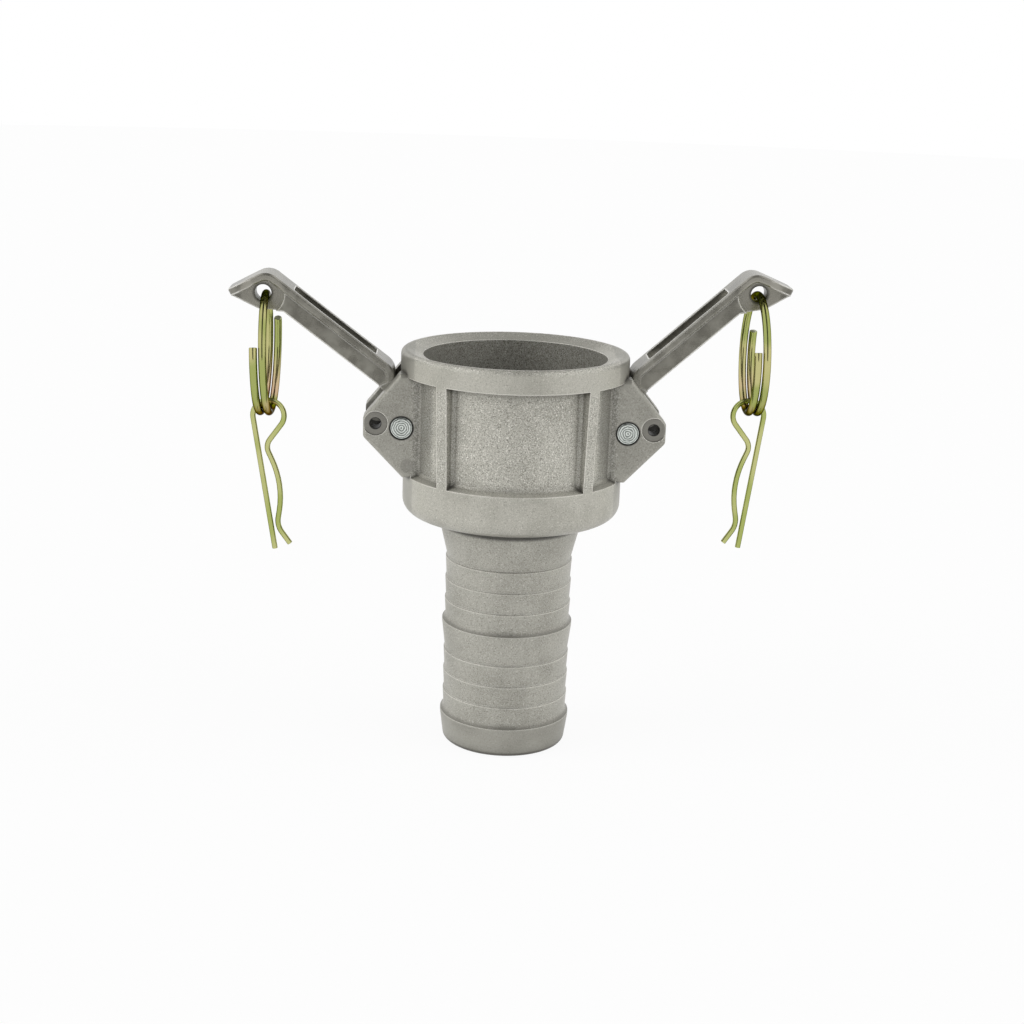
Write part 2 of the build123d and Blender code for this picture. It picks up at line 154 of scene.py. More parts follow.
@dataclass
class Surface:
    """What several finishes share: places in millimetres, polished edges with a painted highlight, painted
    shade in the hollows, and the shader.
    """

    tree: bpy.types.NodeTree
    bevel_samples: int = 6
    hollow_samples: int = 8
    edge_turn: tuple[float, float] = (0.985, 0.9)  # cosine between the rounded and the flat normal
    hollow_openness: tuple[float, float] = (0.95, 0.6)  # one where no wall is near
    relief_strength: float = 0.6

    def place(self) -> bpy.types.NodeSocket:
        """Reads Object coordinates in millimetres, so that a pattern's scale is one over its real size.

        Returns:
            The coordinates.
        """
        where = add_node(self.tree, "TexCoord")
        scaled = add_node(
            self.tree,
            "Mapping",
            inputs={"Scale": (1 / MM, 1 / MM, 1 / MM), "Vector": where.outputs["Object"]},
        )
        return scaled.outputs["Vector"]

    def position(self) -> Position:
        """Splits the place up along the coupler's own lines.

        Returns:
            The place, with its height and its distances from the middle and from the Z axis.
        """
        place = self.place()
        axes = add_node(self.tree, "SeparateXYZ", inputs={0: place})
        aside, across = (
            add_node(self.tree, "Math", {"operation": "ABSOLUTE"}, {0: axes.outputs[axis]}).outputs[0]
            for axis in ("X", "Y")
        )
        level = add_node(self.tree, "VectorMath", {"operation": "MULTIPLY"}, {0: place, 1: (1.0, 1.0, 0.0)})
        radius = add_node(self.tree, "VectorMath", {"operation": "LENGTH"}, {0: level.outputs[0]})
        return Position(place, axes.outputs["Z"], aside, across, radius.outputs["Value"])

    def from_bores(self, place: bpy.types.NodeSocket, x: float, z: float) -> bpy.types.NodeSocket:
        """Distance from two lines along Y, one on each side of the coupler.

        Args:
            place: Coordinates in millimetres.
            x: How far the lines are from the middle.
            z: Height of the lines.

        Returns:
            The distance in millimetres.
        """
        one_side = add_node(self.tree, "VectorMath", {"operation": "ABSOLUTE"}, {0: place})
        offset = add_node(
            self.tree, "VectorMath", {"operation": "SUBTRACT"}, {0: one_side.outputs[0], 1: (x, 0.0, z)}
        )
        level = add_node(
            self.tree, "VectorMath", {"operation": "MULTIPLY"}, {0: offset.outputs[0], 1: (1.0, 0.0, 1.0)}
        )
        reach = add_node(self.tree, "VectorMath", {"operation": "LENGTH"}, {0: level.outputs[0]})
        return reach.outputs["Value"]

    def coat(
        self,
        under: Any,
        over: Any,
        value: bpy.types.NodeSocket,
        start: float,
        end: float,
        most: float = 1.0,
    ) -> bpy.types.NodeSocket:
        """Lays one colour over another while a value goes from start to end.

        Args:
            under: Hex colour or socket that shows before the start.
            over: Hex colour or socket that shows past the end.
            value: The number that drives the change.
            start: Where the upper colour sets in.
            end: Where it is as full as it gets. It may be below the start.
            most: How full it gets.

        Returns:
            The colour of both together.
        """
        share = add_node(
            self.tree,
            "MapRange",
            {"interpolation_type": "SMOOTHSTEP"},
            {"Value": value, "From Min": start, "From Max": end, "To Min": 0.0, "To Max": most},
        )
        both = add_node(
            self.tree, "Mix", {"data_type": "RGBA"}, {0: share.outputs["Result"], 6: under, 7: over}
        )
        return both.outputs[2]

    def aged(
        self,
        colour: Any,
        soft_edge: float,
        worn_edge: float,
        polish_and_highlight: str,
        grime: str,
        hollows: Sequence[tuple[float, float]],
    ) -> tuple[bpy.types.NodeSocket, bpy.types.NodeSocket]:
        """Rounds the edges and polishes them with a painted highlight, and paints shade into the hollows.

        Args:
            colour: The bare colour.
            soft_edge: Radius that sharp edges get, in millimetres.
            worn_edge: How far from an edge the polish and its painted highlight reach, in millimetres.
            polish_and_highlight: Colour of worn edges, drawn light as a painted highlight.
            grime: Colour of the painted shade in the hollows.
            hollows: For each size of hollow, its width in millimetres and how full the painted shade gets.

        Returns:
            The colour with its painted highlight and shade, and the normal with rounded edges.
        """
        normal, wide = (
            add_node(self.tree, "Bevel", {"samples": self.bevel_samples}, {"Radius": radius * MM})
            for radius in (soft_edge, worn_edge)
        )
        flat = add_node(self.tree, "NewGeometry")
        agree = add_node(
            self.tree,
            "VectorMath",
            {"operation": "DOT_PRODUCT"},
            {0: wide.outputs["Normal"], 1: flat.outputs["Normal"]},
        )
        # Worn edges are polished, and they are drawn this light as a painted highlight.
        colour = self.coat(colour, polish_and_highlight, agree.outputs["Value"], *self.edge_turn)
        # Painted shade: each hollow is darkened where walls stand near it.
        for width, most in hollows:
            openness = add_node(
                self.tree, "AmbientOcclusion", {"samples": self.hollow_samples}, {"Distance": width * MM}
            )
            colour = self.coat(colour, grime, openness.outputs["AO"], *self.hollow_openness, most)
        return colour, normal.outputs["Normal"]

    def finish(
        self,
        colour: Any,
        metallic: Any,
        roughness: Any,
        height: bpy.types.NodeSocket,
        depth: float,
        normal: Optional[bpy.types.NodeSocket] = None,
        rim: str = "#ffffff",
    ) -> None:
        """Ends the tree with the shader and its relief.

        Args:
            colour: Base colour.
            metallic: One for bare metal, or a socket where a matt skin covers part of it.
            roughness: A value or a socket.
            height: The relief, from 0 to 1.
            depth: Depth of the relief in millimetres.
            normal: The normal that the relief starts from.
            rim: Tint of the metal's reflection where it is seen edge on.
        """
        relief = {"Strength": self.relief_strength, "Distance": depth * MM, "Height": height}
        if normal is not None:
            relief["Normal"] = normal
        bump = add_node(self.tree, "Bump", inputs=relief)
        shader = add_node(
            self.tree,
            "BsdfPrincipled",
            inputs={
                "Base Color": colour,
                "Metallic": metallic,
                "Roughness": roughness,
                "Specular Tint": rim,
                "Normal": bump.outputs["Normal"],
            },
        )
        add_node(self.tree, "OutputMaterial", inputs={"Surface": shader.outputs["BSDF"]})


# Finishes
# A pair says where a change sets in and where it is full, unless a comment says otherwise.


@dataclass(frozen=True)
class Stop:
    """A height on the body in millimetres, and how strong something is there."""

    height: float
    share: float


@dataclass(frozen=True)
class CastAluminium:
    """Aluminium alloy, die cast and shot blasted: matt, faintly warm, with a fine bright and dark grain."""

    body: str = "#bab8ae"
    cloud: str = "#aeaca2"
    dark_grain: str = "#7b7971"
    bright_grain: str = "#eceae3"
    # Polish of worn edges, light enough to be a painted highlight.
    edge: str = "#eeece3"
    # Painted shade for the hollows and for the corners over the large barbs.
    grime: str = "#45433c"
    skin: str = "#7f7d76"
    # Greys that multiply the colour, as painted shade in the bore, on the ears and in the pockets.
    bore_tone: str = "#d6d6d6"
    ear_tone: str = "#e6e6e6"
    pocket_tone: str = "#dadada"
    # Near black, for painted shade between the ears, under the cup, in the clips' holes and round the pins.
    soot: str = "#11110e"
    grain: float = 0.33  # blasting pits of 0.1 to 0.2 mm, drawn this coarse so that they show
    dark_noise: tuple[float, float] = (0.5, 0.32)
    bright_noise: tuple[float, float] = (0.52, 0.7)
    no_grain: float = 0.5  # between the two, where neither shows
    clouds: float = 12.0
    cloud_noise: tuple[float, float] = (0.4, 0.65)
    depth: float = 0.05
    soft_edge: float = 0.35
    worn_edge: float = 0.55
    hollows: tuple[tuple[float, float], ...] = ((0.5, 0.8), (2.2, 0.8), (5.0, 0.2))  # width, fullness
    metallic: float = 0.55  # the blasted skin scatters the rest of the light as a matt one does
    roughness: tuple[float, float] = (0.36, 0.48)  # smoothest, roughest
    height: float = 120.0
    grain_stops: tuple[Stop, ...] = (
        Stop(8.0, 0.4),
        Stop(10.0, 0.65),
        Stop(66.0, 0.65),
        Stop(72.0, 0.55),
        Stop(84.0, 0.55),
        Stop(85.5, 0.9),
        Stop(111.5, 0.9),
        Stop(113.0, 0.5),
        Stop(118.5, 0.5),
        Stop(119.6, 0.9),
    )
    # Painted shade by height: the tail below the cup is darker, most at its end.
    tone_stops: tuple[Stop, ...] = (
        Stop(8.6, 0.7),
        Stop(9.2, 0.82),
        Stop(50.0, 0.85),
        Stop(70.0, 0.86),
        Stop(76.0, 1.0),
    )
    bore_wall: tuple[float, float] = (27.5, 27.0)
    cup_floor: tuple[float, float] = (74.5, 75.0)
    ear_side: tuple[float, float] = (29.0, 29.6)
    ear_grain_side: tuple[float, float] = (29.0, 30.5)
    ear_smoothness: float = 0.4
    pocket_side: tuple[float, float] = (23.2, 24.6)
    pocket_foot: tuple[float, float] = (85.0, 86.0)
    pocket_top: tuple[float, float] = (111.5, 112.5)
    lowest_crest: float = 9.0
    group_spacing: float = 29.0
    groups_end: tuple[float, float] = (64.0, 65.0)
    # Painted shade in the corner over each group's large barb.
    barb_corner: tuple[float, float] = (1.6, 0.1)
    barb_dirt: float = 0.5
    # Where the painted shade between the ears and the painted shadow under the cup lie.
    between_ears: tuple[float, float] = (7.0, 6.6)
    between_soot: float = 0.95
    soot_top: tuple[float, float] = (98.8, 103.8)
    past_pin: float = 0.5
    neck_wall: tuple[float, float] = (23.0, 23.5)
    under_cup: tuple[float, float] = (67.4, 68.6)
    inside_cup: tuple[float, float] = (71.6, 72.0)
    neck_soot: float = 0.8
    clip_hole: tuple[float, float] = (40.2, 99.8)  # its X, to either side, and its height
    # Painted shade inside each clip's hole.
    hole_wall: tuple[float, float] = (1.9, 1.65)
    spot_face: tuple[float, float] = (3.5, 3.2)
    spot_skin: float = 0.8
    # Painted shade in the gap round each pin.
    pin_gap: tuple[float, float] = (3.85, 3.35)
    ejector_mark: tuple[float, float, float] = (-30.8, -12.4, 87.5)
    ejector_rim: tuple[float, float] = (2.3, 1.8)
    ejector_skin: float = 0.5

    def make(self, pin: Vector) -> bpy.types.Material:
        """Builds the material.

        Args:
            pin: Where the right-hand pin passes through its ears, in millimetres.

        Returns:
            The material.
        """
        material, tree = new_material("Shot_blasted_cast_aluminium")
        surface = Surface(tree)
        at = surface.position()
        fine = add_node(
            tree,
            "TexNoise",
            inputs={"Vector": at.place, "Scale": 1 / self.grain, "Detail": 2.0, "Roughness": 0.65},
        )
        clouds = add_node(
            tree,
            "TexNoise",
            inputs={"Vector": at.place, "Scale": 1 / self.clouds, "Detail": 3.0, "Roughness": 0.5},
        )
        strength = self.graininess(surface, at)
        grain = add_node(
            tree, "Mix", inputs={0: strength, 2: self.no_grain, 3: fine.outputs["Fac"]}
        ).outputs[0]
        colour = surface.coat(self.body, self.cloud, clouds.outputs["Fac"], *self.cloud_noise)
        colour = surface.coat(colour, self.dark_grain, grain, *self.dark_noise)
        colour = surface.coat(colour, self.bright_grain, grain, *self.bright_noise)
        # Painted shade: the tail, pockets, ears and bore are darkened.
        shaded_colour = add_node(
            tree,
            "Mix",
            {"data_type": "RGBA", "blend_type": "MULTIPLY"},
            {0: 1.0, 6: colour, 7: self.tone(surface, at)},
        )
        # Painted highlight on the edges and painted shade in the hollows.
        colour, normal = surface.aged(
            shaded_colour.outputs[2], self.soft_edge, self.worn_edge, self.edge, self.grime, self.hollows
        )
        # Painted shade over the barbs, between the ears, under the cup, in the clips' holes and round the
        # pins.
        colour = self.barbed(surface, at, colour)
        colour = self.sheltered(surface, at, colour, pin)
        colour = self.drilled(surface, at, colour, pin)
        low, high = self.roughness
        rough = add_node(
            tree, "MapRange", inputs={"Value": clouds.outputs["Fac"], "To Min": low, "To Max": high}
        )
        surface.finish(colour, self.metallic, rough.outputs["Result"], grain, self.depth, normal)
        return material

    def by_height(
        self, tree: bpy.types.NodeTree, height: bpy.types.NodeSocket, stops: Sequence[Stop]
    ) -> bpy.types.NodeSocket:
        """How strong something is at each height.

        Args:
            tree: The material's tree.
            height: Z in millimetres.
            stops: The heights between which it changes evenly.

        Returns:
            A grey between 0 and 1.
        """
        along = add_node(tree, "MapRange", inputs={"Value": height, "From Max": self.height})
        ramp = add_node(tree, "ValToRGB", inputs={0: along.outputs["Result"]})
        marks = ramp.color_ramp.elements
        for mark, stop in ((marks[0], stops[0]), (marks[1], stops[-1])):
            mark.color = (stop.share,) * 3 + (1.0,)
        for stop in stops:
            marks.new(stop.height / self.height).color = (stop.share,) * 3 + (1.0,)
        return ramp.outputs["Color"]

    def graininess(self, surface: Surface, at: Position) -> bpy.types.NodeSocket:
        """How strong the grain is: it changes with the height, is weaker on the ears and full in the bore.

        Args:
            surface: The material's surface.
            at: The point on it.

        Returns:
            A grey between 0 and 1.
        """
        strength = self.by_height(surface.tree, at.height, self.grain_stops)
        strength = surface.coat(strength, "#000000", at.aside, *self.ear_grain_side, self.ear_smoothness)
        full = surface.coat(strength, "#ffffff", at.radius, *self.bore_wall)
        return surface.coat(strength, full, at.height, *self.cup_floor)

    def tone(self, surface: Surface, at: Position) -> bpy.types.NodeSocket:
        """Painted shade that the colour is multiplied by: the tail, pockets, ears and bore are darker.

        Args:
            surface: The material's surface.
            at: The point on it.

        Returns:
            A grey, white where the colour stays.
        """
        tone = self.by_height(surface.tree, at.height, self.tone_stops)
        pocket = surface.coat(tone, self.pocket_tone, at.aside, *self.pocket_side)
        pocket = surface.coat(pocket, tone, at.height, *self.pocket_top)
        tone = surface.coat(tone, pocket, at.height, *self.pocket_foot)
        tone = surface.coat(tone, self.ear_tone, at.aside, *self.ear_side)
        bored = surface.coat(tone, self.bore_tone, at.radius, *self.bore_wall)
        return surface.coat(tone, bored, at.height, *self.cup_floor)

    def barbed(
        self, surface: Surface, at: Position, colour: bpy.types.NodeSocket
    ) -> bpy.types.NodeSocket:
        """Paints shade into the corner over the large barb that starts each group.

        Args:
            surface: The material's surface.
            at: The point on it.
            colour: The colour so far.

        Returns:
            The colour with the painted shade.
        """
        above = add_node(
            surface.tree, "Math", {"operation": "SUBTRACT"}, {0: at.height, 1: self.lowest_crest}
        )
        group = add_node(
            surface.tree,
            "Math",
            {"operation": "FLOORED_MODULO"},
            {0: above.outputs[0], 1: self.group_spacing},
        )
        # Painted shade in the corner over the large barb.
        shaded_corner = surface.coat(colour, self.grime, group.outputs[0], *self.barb_corner, self.barb_dirt)
        return surface.coat(shaded_corner, colour, at.height, *self.groups_end)

    def sheltered(
        self, surface: Surface, at: Position, colour: bpy.types.NodeSocket, pin: Vector
    ) -> bpy.types.NodeSocket:
        """Paints shade between the ears, and a painted shadow right under the cup.

        Args:
            surface: The material's surface.
            at: The point on it.
            colour: The colour so far.
            pin: Where the right-hand pin passes, in millimetres.

        Returns:
            The colour with the painted shade.
        """
        # Painted shade between the ears, and a painted shadow on the neck under the cup.
        between = surface.coat(colour, self.soot, at.across, *self.between_ears, self.between_soot)
        between = surface.coat(between, colour, at.height, *self.soot_top)
        colour = surface.coat(colour, between, at.aside, pin.x, pin.x + self.past_pin)
        neck = surface.coat(self.soot, colour, at.radius, *self.neck_wall)
        shaded = surface.coat(colour, neck, at.height, *self.under_cup, self.neck_soot)
        return surface.coat(shaded, colour, at.height, *self.inside_cup)

    def drilled(
        self, surface: Surface, at: Position, colour: bpy.types.NodeSocket, pin: Vector
    ) -> bpy.types.NodeSocket:
        """Marks the spot faces round the clips' holes and the ejector's mark, and paints shade into the
        clips' holes and the gap round each pin.

        Args:
            surface: The material's surface.
            at: The point on it.
            colour: The colour so far.
            pin: Where the right-hand pin passes, in millimetres.

        Returns:
            The colour with the marks.
        """
        hole = surface.from_bores(at.place, *self.clip_hole)
        colour = surface.coat(colour, self.skin, hole, *self.spot_face, self.spot_skin)
        # Painted shade inside the clips' holes and in the gap round each pin.
        colour = surface.coat(colour, self.soot, hole, *self.hole_wall)
        colour = surface.coat(colour, self.soot, surface.from_bores(at.place, pin.x, pin.z), *self.pin_gap)
        mark = add_node(
            surface.tree, "VectorMath", {"operation": "DISTANCE"}, {0: at.place, 1: self.ejector_mark}
        )
        return surface.coat(
            colour, self.skin, mark.outputs["Value"], *self.ejector_rim, self.ejector_skin
        )


@dataclass(frozen=True)
class CastSteel:
    """Stainless steel, investment cast and tumbled: smoother than the body, with polished edges drawn light
    as a painted highlight, and painted shade in the hollows.
    """

    low: str = "#6d6b63"
    high: str = "#8f8d84"
    # Polish of worn edges, light enough to be a painted highlight.
    edge: str = "#fbf9f3"
    # Painted shade for the hollows and the eye's rim.
    grime: str = "#3d3b35"
    mould_skin: str = "#a3a196"
    recess_skin: str = "#a5a298"
    grain: float = 0.5  # pits of the mould's sand, 0.1 to 0.3 mm, drawn this coarse so that they show
    clouds: float = 5.0
    cloud_noise: tuple[float, float] = (0.3, 0.7)
    depth: float = 0.02
    soft_edge: float = 0.4
    worn_edge: float = 0.9
    hollows: tuple[tuple[float, float], ...] = ((0.8, 0.5), (5.0, 0.35))  # width, fullness
    metallic: float = 0.75  # the tumbled skin scatters the rest of the light
    skin_metallic: float = 0.1
    slot: float = 4.0
    slot_openness: tuple[float, float] = (0.7, 0.48)
    roughness: tuple[float, float] = (0.19, 0.37)  # smoothest, roughest
    recess: tuple[float, float] = (7.0, 5.8)
    recess_share: float = 0.55
    # Painted shade round the rim of the eye.
    eye_rim: tuple[float, float] = (3.3, 2.6)
    eye_grime: float = 0.8

    def make(self, eye: Vector) -> bpy.types.Material:
        """Builds the material for one lever.

        Args:
            eye: Middle of the lever's eye in millimetres.

        Returns:
            The material.
        """
        material, tree = new_material("Tumbled_cast_stainless_steel")
        surface = Surface(tree)
        place = surface.place()
        grain, clouds = (
            add_node(tree, "TexNoise", inputs={"Vector": place, "Scale": 1 / size, "Detail": detail})
            for size, detail in ((self.grain, 2.0), (self.clouds, 3.0))
        )
        colour = surface.coat(self.low, self.high, clouds.outputs["Fac"], *self.cloud_noise)
        # Painted highlight on the edges and painted shade in the hollows.
        colour, normal = surface.aged(
            colour, self.soft_edge, self.worn_edge, self.edge, self.grime, self.hollows
        )
        looked = add_node(
            tree, "AmbientOcclusion", {"samples": surface.hollow_samples}, {"Distance": self.slot * MM}
        )
        openness = looked.outputs["AO"]
        colour = surface.coat(colour, self.mould_skin, openness, *self.slot_openness)
        metallic = add_node(
            tree,
            "MapRange",
            inputs={
                "Value": openness,
                "From Min": self.slot_openness[1],
                "From Max": self.slot_openness[0],
                "To Min": self.skin_metallic,
                "To Max": self.metallic,
            },
        )
        from_eye = surface.from_bores(place, abs(eye.x), eye.z)
        colour = surface.coat(colour, self.recess_skin, from_eye, *self.recess, self.recess_share)
        # Painted shade round the rim of the eye.
        colour = surface.coat(colour, self.grime, from_eye, *self.eye_rim, self.eye_grime)
        low, high = self.roughness
        rough = add_node(
            tree, "MapRange", inputs={"Value": clouds.outputs["Fac"], "To Min": low, "To Max": high}
        )
        surface.finish(
            colour,
            metallic.outputs["Result"],
            rough.outputs["Result"],
            grain.outputs["Fac"],
            self.depth,
            normal,
        )
        return material


@dataclass(frozen=True)
class TurnedSteel:
    """Bright steel bar, turned: tool marks run round the pin's own line, light and dark by turns."""

    light: str = "#dde2dd"
    dark: str = "#767b77"
    mark_spacing: float = 0.65  # tool marks 0.1 to 0.2 mm apart, drawn this coarse so that they show
    mark_wave: tuple[float, float] = (-1.1, 0.8)
    smear: float = 0.9
    drift: float = 6.5
    depth: float = 0.02
    roughness: float = 0.3

    def make(self, pin: Vector) -> bpy.types.Material:
        """Builds the material for one pin.

        Args:
            pin: A point on the pin's line, in millimetres.

        Returns:
            The material.
        """
        material, tree = new_material("Turned_bright_steel")
        surface = Surface(tree)
        place = surface.place()
        reach = surface.from_bores(place, abs(pin.x), pin.z)
        turns = add_node(
            tree, "Math", {"operation": "MULTIPLY"}, {0: reach, 1: 2 * math.pi / self.mark_spacing}
        )
        smear = add_node(
            tree, "TexNoise", inputs={"Vector": place, "Scale": 1 / self.smear, "Detail": 3.0}
        )
        stray = add_node(
            tree,
            "Math",
            {"operation": "MULTIPLY_ADD"},
            {0: smear.outputs["Fac"], 1: self.drift, 2: turns.outputs[0]},
        )
        marks = add_node(tree, "Math", {"operation": "SINE"}, {0: stray.outputs[0]}).outputs[0]
        colour = surface.coat(self.dark, self.light, marks, *self.mark_wave)
        surface.finish(colour, 1.0, self.roughness, marks, self.depth)
        return material


@dataclass(frozen=True)
class ChromatedWire:
    """Spring wire, zinc plated and yellow chromated: green gold that drifts to pink, with a sheen.

    The blush is the height in millimetres where the pink sets in, and where it is full.
    """

    green: str
    yellow: str
    pink: str
    blush: tuple[float, float]
    rim: str = "#4f4a22"
    drift: float = 11.0
    yellow_noise: tuple[float, float] = (0.38, 0.62)
    pink_noise: tuple[float, float] = (0.3, 0.7)
    scuff: float = 0.9  # drawing marks of about 0.1 mm, drawn this coarse so that they show
    depth: float = 0.001
    roughness: tuple[float, float] = (0.08, 0.22)  # smoothest, roughest

    def make(self) -> bpy.types.Material:
        """Builds the material.

        Returns:
            The material.
        """
        material, tree = new_material("Yellow_chromated_zinc_wire")
        surface = Surface(tree)
        place = surface.place()
        height = add_node(tree, "SeparateXYZ", inputs={0: place}).outputs["Z"]
        drift = add_node(
            tree,
            "TexNoise",
            inputs={"Vector": place, "Scale": 1 / self.drift, "Detail": 1.0, "Roughness": 0.4},
        )
        scuff = add_node(
            tree, "TexNoise", inputs={"Vector": place, "Scale": 1 / self.scuff, "Detail": 2.0}
        )
        colour = surface.coat(self.green, self.yellow, drift.outputs["Fac"], *self.yellow_noise)
        blushed = surface.coat(colour, self.pink, drift.outputs["Fac"], *self.pink_noise)
        colour = surface.coat(colour, blushed, height, *self.blush)
        low, high = self.roughness
        rough = add_node(
            tree, "MapRange", inputs={"Value": scuff.outputs["Fac"], "To Min": low, "To Max": high}
        )
        surface.finish(
            colour, 1.0, rough.outputs["Result"], scuff.outputs["Fac"], self.depth, rim=self.rim
        )
        return material


@dataclass(frozen=True)
class CutSteel:
    """Spring steel where the wire was cut: pale, streaked, and washed over by the yellow chromate."""

    light: str = "#d3d6b4"
    dark: str = "#a4a78a"
    streak: float = 0.4  # shear marks of about 0.1 mm, drawn this coarse so that they show
    streak_noise: tuple[float, float] = (0.35, 0.6)
    depth: float = 0.01
    roughness: float = 0.45

    def make(self) -> bpy.types.Material:
        """Builds the material.

        Returns:
            The material.
        """
        material, tree = new_material("Cut_spring_steel")
        surface = Surface(tree)
        streaks = add_node(
            tree, "TexNoise", inputs={"Vector": surface.place(), "Scale": 1 / self.streak, "Detail": 2.0}
        )
        colour = surface.coat(self.dark, self.light, streaks.outputs["Fac"], *self.streak_noise)
        surface.finish(colour, 1.0, self.roughness, streaks.outputs["Fac"], self.depth)
        return material


@dataclass(frozen=True)
class NitrileRubber:
    """Nitrile rubber, moulded: near black, with a dusty bloom."""

    colour: str = "#242424"
    bloom: str = "#3a3a39"
    blotch: float = 3.0
    bloom_noise: tuple[float, float] = (0.4, 0.7)
    grain: float = 0.3  # the mould's texture of about 0.1 mm, drawn this coarse so that it shows
    depth: float = 0.02
    roughness: float = 0.55

    def make(self) -> bpy.types.Material:
        """Builds the material.

        Returns:
            The material.
        """
        material, tree = new_material("Moulded_nitrile_rubber")
        surface = Surface(tree)
        place = surface.place()
        blotch, grain = (
            add_node(tree, "TexNoise", inputs={"Vector": place, "Scale": 1 / size, "Detail": detail})
            for size, detail in ((self.blotch, 3.0), (self.grain, 1.0))
        )
        colour = surface.coat(self.colour, self.bloom, blotch.outputs["Fac"], *self.bloom_noise)
        surface.finish(colour, 0.0, self.roughness, grain.outputs["Fac"], self.depth)
        return material


# Mesh help


def finished_piece(name: str, bm: bmesh.types.BMesh, *finishes: bpy.types.Material) -> bpy.types.Object:
    """Turns a bmesh into a smooth-shaded object at the origin.

    Args:
        name: The piece's name.
        bm: The finished bmesh, which is freed.
        finishes: Its materials, in the order of its faces' numbers.

    Returns:
        The object, linked to the scene.
    """
    bmesh.ops.recalc_face_normals(bm, faces=bm.faces)
    mesh = bpy.data.meshes.new(name)
    bm.to_mesh(mesh)
    bm.free()
    for finish in finishes:
        mesh.materials.append(finish)
    for polygon in mesh.polygons:
        polygon.use_smooth = True
    piece = bpy.data.objects.new(name, mesh)
    bpy.context.scene.collection.objects.link(piece)
    return piece


def wire_end(
    bm: bmesh.types.BMesh, radius: float, segments: int, place: Matrix
) -> list[bmesh.types.BMEdge]:
    """Starts a wire with an open loop of its section.

    Args:
        bm: The bmesh to draw in.
        radius: The wire's radius in metres.
        segments: Points round the wire.
        place: Where the loop goes. It is drawn in the matrix's own XY plane.

    Returns:
        The loop's edges.
    """
    drawn = bmesh.ops.create_circle(bm, cap_ends=False, radius=radius, segments=segments, matrix=place)
    ring = set(drawn["verts"])
    return [edge for edge in bm.edges if edge.verts[0] in ring and edge.verts[1] in ring]


def close_ends(bm: bmesh.types.BMesh, burr: float) -> None:
    """Caps the open ends of a wire, as cut, and takes off their sharp edge.

    Args:
        bm: The wire's bmesh.
        burr: Width of the rounding in metres.
    """
    bmesh.ops.remove_doubles(bm, verts=bm.verts, dist=SAME_SPOT)
    rims = [edge for edge in bm.edges if edge.is_boundary]
    for cap in bmesh.ops.holes_fill(bm, edges=rims, sides=0)["faces"]:
        cap.material_index = 1
    bmesh.ops.bevel(
        bm,
        geom=rims,
        offset=burr,
        offset_type="OFFSET",
        segments=EDGE_STEPS,
        profile=0.5,
        affect="EDGES",
        material=-1,
    )


def dress_node(node: str, finish: bpy.types.Material) -> None:
    """Gives a CAD node its finish.

    Args:
        node: The node's name.
        finish: The material that covers all of it.
    """
    materials = frame["nodes"][node].data.materials
    materials.clear()
    materials.append(finish)
    LOG.info("dressed %s", node)


# Sub-assemblies


@dataclass
class CouplerBody:
    """The cast socket with its ears and hose tail, and the gasket that sits in it."""

    cast: CastAluminium = field(default_factory=CastAluminium)
    rubber: NitrileRubber = field(default_factory=NitrileRubber)

    def dress(self) -> None:
        """Gives the two CAD nodes their finishes."""
        pin = hinge(f"lever_{Side.RIGHT.word}_swing")
        dress_node("coupler_body", self.cast.make(pin))
        dress_node("gasket", self.rubber.make())


@dataclass
class LeverPin:
    """A turned pin through both ears. Each end is faced, which leaves rings round its middle."""

    side: Side
    radius: float = 3.2
    chamfer: float = 0.4
    ring_widths: tuple[float, ...] = (0.35, 0.5, 0.3, 0.6, 0.4)
    ring_depth: float = 0.03
    segments: int = 64
    sharp_angle: float = 30.0
    finish: TurnedSteel = field(default_factory=TurnedSteel)

    def build(self) -> bpy.types.Object:
        """Turns the pin from a bar: the rim is chamfered and the ends are faced ring by ring.

        Returns:
            The pin, riding on the body.
        """
        node = f"lever_pin_{self.side.word}"
        low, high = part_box(node)
        middle = (low + high) / 2
        place = Matrix.Translation(middle) @ Matrix.Rotation(math.pi / 2, 4, "X")
        bm = bmesh.new()
        bmesh.ops.create_cone(
            bm,
            cap_ends=True,
            segments=self.segments,
            radius1=self.radius * MM,
            radius2=self.radius * MM,
            depth=high.y - low.y,
            matrix=place,
        )
        ends = [face for face in bm.faces if len(face.verts) == self.segments]
        bmesh.ops.bevel(
            bm,
            geom=[edge for face in ends for edge in face.edges],
            offset=self.chamfer * MM,
            segments=EDGE_STEPS,
            profile=0.5,
            affect="EDGES",
            material=-1,
        )
        depth = self.ring_depth * MM
        for width in self.ring_widths:
            depth = -depth
            for end in [face for face in bm.faces if len(face.verts) == self.segments]:
                bmesh.ops.inset_individual(bm, faces=[end], thickness=width * MM, depth=depth)
        piece = finished_piece(f"turned_pin_{self.side.word}", bm, self.finish.make(middle / MM))
        piece.data.set_sharp_from_angle(angle=math.radians(self.sharp_angle))
        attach(piece, "body")
        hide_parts(node)
        LOG.info("built %s", piece.name)
        return piece


@dataclass
class CamLever:
    """One cast cam lever."""

    side: Side
    steel: CastSteel = field(default_factory=CastSteel)

    def dress(self) -> None:
        """Gives the CAD node its finish, with painted shade round the eye that the ring hangs in."""
        eye = hinge(f"ring_{self.side.word}_swing")
        dress_node(f"cam_lever_{self.side.word}", self.steel.make(eye))


